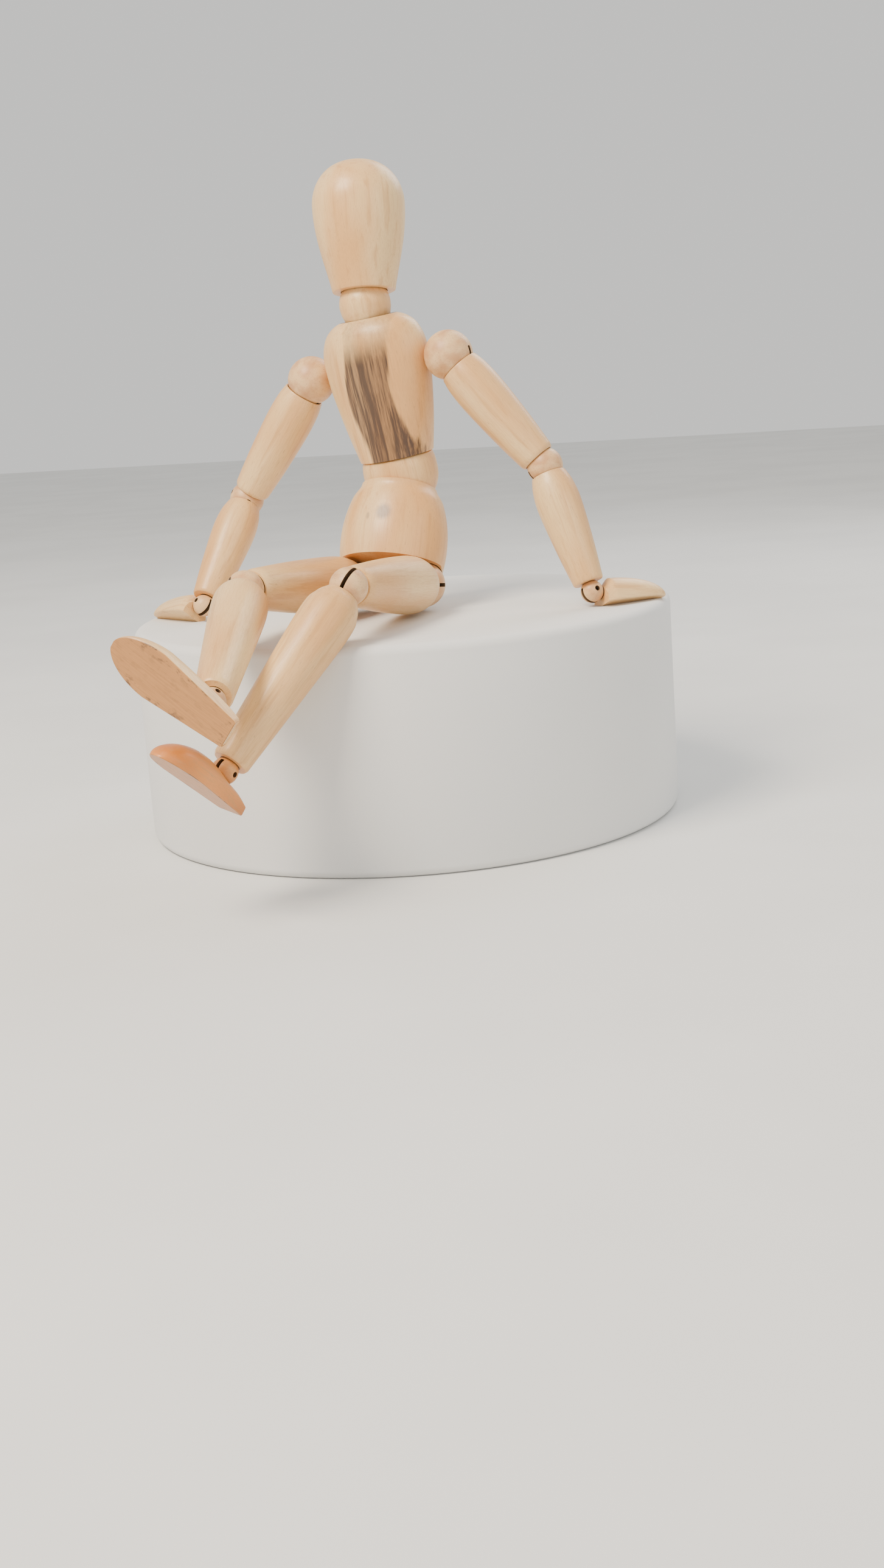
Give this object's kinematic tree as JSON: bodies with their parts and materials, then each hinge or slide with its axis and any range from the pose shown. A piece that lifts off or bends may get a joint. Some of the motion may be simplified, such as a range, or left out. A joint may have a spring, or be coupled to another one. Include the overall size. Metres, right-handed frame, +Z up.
{
  "type": "artist mannequin",
  "caption": "Seated jointed wooden artist mannequin; its head, trunk, arms, hands, legs and feet turn and hinge on slotted balls held by spring wires.",
  "frame": {"origin": "on the plane of the seat it sits on, straight under the middle of the line between the two hip balls", "axes": "+Z up, the pelvis faces -Y, and the mannequin's own left is +X"},
  "size_m": [0.187, 0.1804, 0.2002],
  "materials": {
    "varnished_wood": "satin varnish on pale fine-grained turned wood",
    "ball_wood": "thin satin varnish, end grain showing",
    "spring_wire": "bright drawn spring wire",
    "pin_steel": "dull cut steel pin"
  },
  "bodies": {
    "pelvis": {"pelvis": "varnished_wood", "hip_spring": "spring_wire"},
    "abdomen": {"abdomen": "varnished_wood", "waist_spring": "spring_wire"},
    "chest": {"chest": "varnished_wood", "shoulder_spring": "spring_wire"},
    "neck": {"neck": "varnished_wood", "neck_spring": "spring_wire"},
    "head": {"head": "varnished_wood"},
    "left_shoulder_ball": {"left_shoulder_ball": "ball_wood", "left_shoulder_pin": "pin_steel"},
    "left_upper_arm": {"left_upper_arm": "varnished_wood", "left_upper_arm_spring": "spring_wire"},
    "left_elbow_ball": {"left_elbow_ball": "ball_wood", "left_elbow_pin": "pin_steel"},
    "left_forearm": {"left_forearm": "varnished_wood", "left_forearm_spring": "spring_wire"},
    "left_wrist_ball": {"left_wrist_ball": "ball_wood", "left_wrist_pin": "pin_steel"},
    "left_hand": {"left_hand": "varnished_wood", "left_hand_hook": "spring_wire"},
    "left_hip_ball": {"left_hip_ball": "ball_wood", "left_hip_pin": "pin_steel"},
    "left_thigh": {"left_thigh": "varnished_wood", "left_thigh_spring": "spring_wire"},
    "left_knee_ball": {"left_knee_ball": "ball_wood", "left_knee_pin": "pin_steel"},
    "left_shin": {"left_shin": "varnished_wood", "left_shin_spring": "spring_wire"},
    "left_ankle_ball": {"left_ankle_ball": "ball_wood", "left_ankle_pin": "pin_steel"},
    "left_foot": {"left_foot": "varnished_wood", "left_foot_hook": "spring_wire"},
    "right_shoulder_ball": {"right_shoulder_ball": "ball_wood", "right_shoulder_pin": "pin_steel"},
    "right_upper_arm": {"right_upper_arm": "varnished_wood", "right_upper_arm_spring": "spring_wire"},
    "right_elbow_ball": {"right_elbow_ball": "ball_wood", "right_elbow_pin": "pin_steel"},
    "right_forearm": {"right_forearm": "varnished_wood", "right_forearm_spring": "spring_wire"},
    "right_wrist_ball": {"right_wrist_ball": "ball_wood", "right_wrist_pin": "pin_steel"},
    "right_hand": {"right_hand": "varnished_wood", "right_hand_hook": "spring_wire"},
    "right_hip_ball": {"right_hip_ball": "ball_wood", "right_hip_pin": "pin_steel"},
    "right_thigh": {"right_thigh": "varnished_wood", "right_thigh_spring": "spring_wire"},
    "right_knee_ball": {"right_knee_ball": "ball_wood", "right_knee_pin": "pin_steel"},
    "right_shin": {"right_shin": "varnished_wood", "right_shin_spring": "spring_wire"},
    "right_ankle_ball": {"right_ankle_ball": "ball_wood", "right_ankle_pin": "pin_steel"},
    "right_foot": {"right_foot": "varnished_wood", "right_foot_hook": "spring_wire"}
  },
  "joints": [
    {"name": "waist_bend", "type": "hinge", "parent": "pelvis", "child": "abdomen", "pos_m": [0.00142, 0.0152, 0.04722], "axis": [0.9994, -0.0131, -0.0324], "range_deg": [-48, 7], "deforming": ["waist_spring"]},
    {"name": "chest_twist", "type": "hinge", "parent": "abdomen", "child": "chest", "pos_m": [0.00071, 0.01454, 0.05365], "axis": [-0.1086, -0.1019, 0.9889], "range_deg": [-54, 38]},
    {"name": "neck_turn", "type": "hinge", "parent": "chest", "child": "neck", "pos_m": [-0.00504, 0.00914, 0.10606], "axis": [-0.1086, -0.1019, 0.9889], "range_deg": [-91, 89]},
    {"name": "head_nod", "type": "hinge", "parent": "neck", "child": "head", "pos_m": [-0.00504, 0.00914, 0.10606], "axis": [0.9887, -0.1141, 0.0968], "range_deg": [-16, 44], "deforming": ["neck_spring"]},
    {"name": "left_shoulder_swing", "type": "hinge", "parent": "chest", "child": "left_shoulder_ball", "pos_m": [0.02498, 0.0077, 0.08696], "axis": [-0.9868, 0.1313, -0.0948], "range_deg": [-59, 176]},
    {"name": "left_arm_raise", "type": "hinge", "parent": "left_shoulder_ball", "child": "left_upper_arm", "pos_m": [0.02498, 0.0077, 0.08696], "axis": [-0.1183, -0.9842, -0.132], "range_deg": [-33, 57]},
    {"name": "left_elbow_swivel", "type": "hinge", "parent": "left_upper_arm", "child": "left_elbow_ball", "pos_m": [0.0568, 0.00913, 0.04778], "axis": [-0.6303, -0.0284, 0.7759], "range_deg": [-73, 167]},
    {"name": "left_elbow_hinge", "type": "hinge", "parent": "left_elbow_ball", "child": "left_forearm", "pos_m": [0.0568, 0.00913, 0.04778], "axis": [-0.4368, 0.8391, -0.3242], "range_deg": [-71, 34]},
    {"name": "left_wrist_swivel", "type": "hinge", "parent": "left_forearm", "child": "left_wrist_ball", "pos_m": [0.07347, 0.00131, 0.00507], "axis": [-0.3584, 0.1682, 0.9183], "range_deg": [-140, 100]},
    {"name": "left_wrist_hinge", "type": "hinge", "parent": "left_wrist_ball", "child": "left_hand", "pos_m": [0.07347, 0.00131, 0.00507], "axis": [0.6927, -0.6116, 0.3823], "range_deg": [-125, 15]},
    {"name": "left_hip_swing", "type": "hinge", "parent": "pelvis", "child": "left_hip_ball", "pos_m": [0.01249, -0.00016, 0.0092], "axis": [-0.9994, 0.0131, 0.0324], "range_deg": [-95, 1]},
    {"name": "left_hip_spread", "type": "hinge", "parent": "left_hip_ball", "child": "left_thigh", "pos_m": [0.01249, -0.00016, 0.0092], "axis": [0.0337, 0.1216, 0.992], "range_deg": [-3, 37]},
    {"name": "left_knee_swivel", "type": "hinge", "parent": "left_thigh", "child": "left_knee_ball", "pos_m": [0.01565, -0.07257, 0.01797], "axis": [-0.0433, 0.9918, -0.1202], "range_deg": [-144, 9]},
    {"name": "left_knee_hinge", "type": "hinge", "parent": "left_knee_ball", "child": "left_shin", "pos_m": [0.01565, -0.07257, 0.01797], "axis": [0.8985, -0.014, -0.4388], "range_deg": [-5, 4]},
    {"name": "left_ankle_swivel", "type": "hinge", "parent": "left_shin", "child": "left_ankle_ball", "pos_m": [-0.00885, -0.1204, -0.03069], "axis": [0.338, 0.6599, 0.6711], "range_deg": [-71, 109]},
    {"name": "left_ankle_hinge", "type": "hinge", "parent": "left_ankle_ball", "child": "left_foot", "pos_m": [-0.00885, -0.1204, -0.03069], "axis": [0.9407, -0.2578, -0.2204], "range_deg": [-19, 20]},
    {"name": "right_shoulder_swing", "type": "hinge", "parent": "chest", "child": "right_shoulder_ball", "pos_m": [-0.03028, 0.01506, 0.08165], "axis": [-0.9868, 0.1313, -0.0948], "range_deg": [-73, 162]},
    {"name": "right_arm_raise", "type": "hinge", "parent": "right_shoulder_ball", "child": "right_upper_arm", "pos_m": [-0.03028, 0.01506, 0.08165], "axis": [0.1415, 0.9837, -0.1106], "range_deg": [-26, 49]},
    {"name": "right_elbow_swivel", "type": "hinge", "parent": "right_upper_arm", "child": "right_elbow_ball", "pos_m": [-0.05998, 0.01474, 0.0408], "axis": [-0.588, -0.0063, -0.8089], "range_deg": [-82, 158]},
    {"name": "right_elbow_hinge", "type": "hinge", "parent": "right_elbow_ball", "child": "right_forearm", "pos_m": [-0.05998, 0.01474, 0.0408], "axis": [-0.7147, -0.4642, 0.5232], "range_deg": [-96, 9]},
    {"name": "right_wrist_swivel", "type": "hinge", "parent": "right_forearm", "child": "right_wrist_ball", "pos_m": [-0.0663, -0.0151, 0.0057], "axis": [-0.136, -0.6415, -0.755], "range_deg": [-98, 142]},
    {"name": "right_wrist_hinge", "type": "hinge", "parent": "right_wrist_ball", "child": "right_hand", "pos_m": [-0.0663, -0.0151, 0.0057], "axis": [0.4057, 0.6592, -0.6332], "range_deg": [-141, 0]},
    {"name": "right_hip_swing", "type": "hinge", "parent": "pelvis", "child": "right_hip_ball", "pos_m": [-0.01249, 0.00016, 0.01], "axis": [-0.9994, 0.0131, 0.0324], "range_deg": [-2, 2]},
    {"name": "right_hip_spread", "type": "hinge", "parent": "right_hip_ball", "child": "right_thigh", "pos_m": [-0.01249, 0.00016, 0.01], "axis": [-0.0335, -0.1043, -0.994], "range_deg": [-3, 34]},
    {"name": "right_knee_swivel", "type": "hinge", "parent": "right_thigh", "child": "right_knee_ball", "pos_m": [-0.02082, -0.07193, 0.01785], "axis": [-0.114, -0.9876, 0.1075], "range_deg": [-9, 78]},
    {"name": "right_knee_hinge", "type": "hinge", "parent": "right_knee_ball", "child": "right_shin", "pos_m": [-0.02082, -0.07193, 0.01785], "axis": [0.7603, -0.0171, 0.6493], "range_deg": [-94, 6]},
    {"name": "right_ankle_swivel", "type": "hinge", "parent": "right_shin", "child": "right_ankle_ball", "pos_m": [-0.00175, -0.13761, -0.00621], "axis": [0.263, -0.9059, -0.3319], "range_deg": [-102, 49]},
    {"name": "right_ankle_hinge", "type": "hinge", "parent": "right_ankle_ball", "child": "right_foot", "pos_m": [-0.00175, -0.13761, -0.00621], "axis": [0.6202, -0.1047, 0.7774], "range_deg": [-7, 53]}
  ]
}
